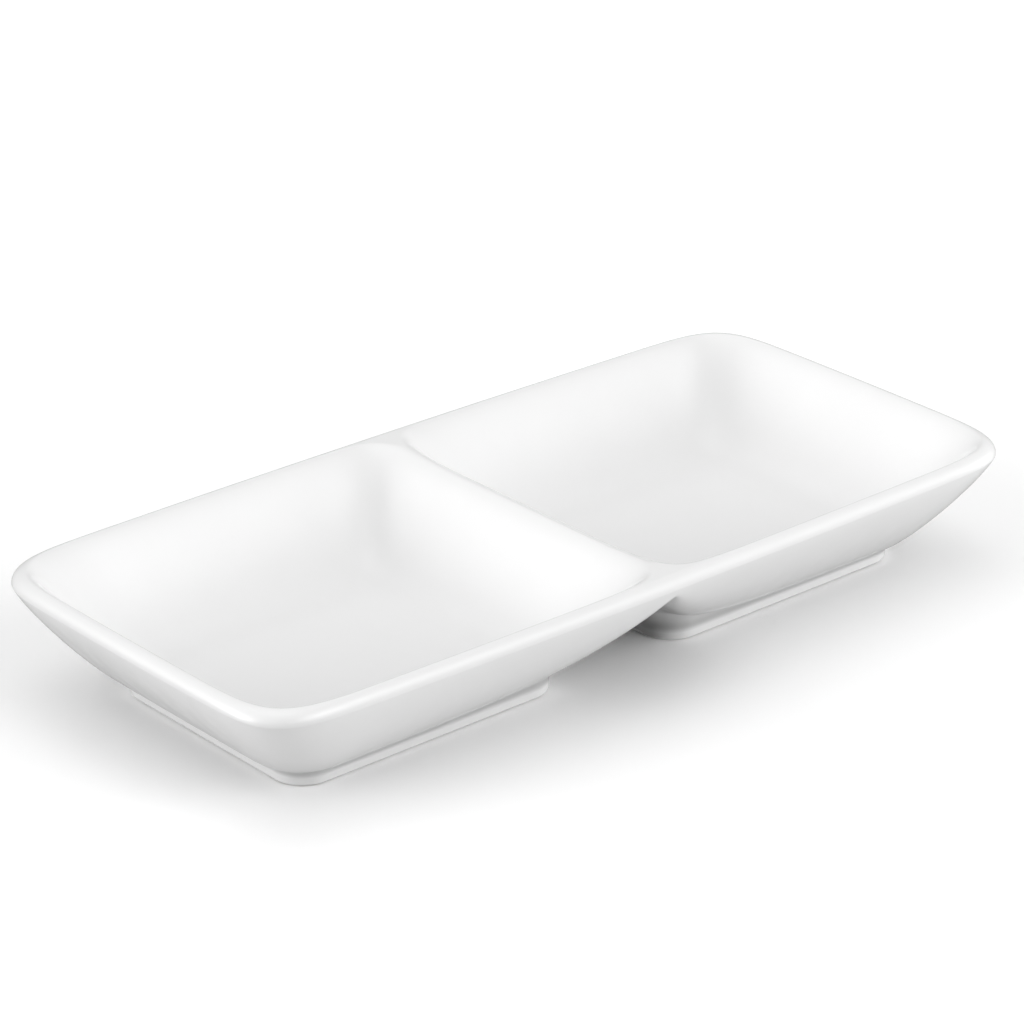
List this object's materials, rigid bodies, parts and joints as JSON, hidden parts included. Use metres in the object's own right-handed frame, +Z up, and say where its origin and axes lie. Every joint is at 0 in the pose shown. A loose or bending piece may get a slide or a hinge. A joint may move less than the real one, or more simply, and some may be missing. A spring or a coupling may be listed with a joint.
{
  "type": "divided serving dish",
  "caption": "Low rectangular glazed porcelain dish with a rounded divider between compartments, a rolled lip, and a raised square foot ring under each, for dips, sauces and snacks.",
  "frame": {"origin": "on the table, under the middle of the dish", "axes": "+X along the length, from the left compartment to the right one; +Y across the width, away from the picture's viewer; +Z up"},
  "size_m": [0.18, 0.085, 0.024],
  "materials": {
    "glazed_porcelain": "clear gloss glaze over white porcelain",
    "bare_porcelain": "white porcelain, glazed down to a bare matt sole"
  },
  "bodies": {
    "root": {"left_bowl": "glazed_porcelain", "right_bowl": "glazed_porcelain", "divider": "glazed_porcelain", "left_foot_ring": "bare_porcelain", "right_foot_ring": "bare_porcelain"}
  },
  "joints": []
}
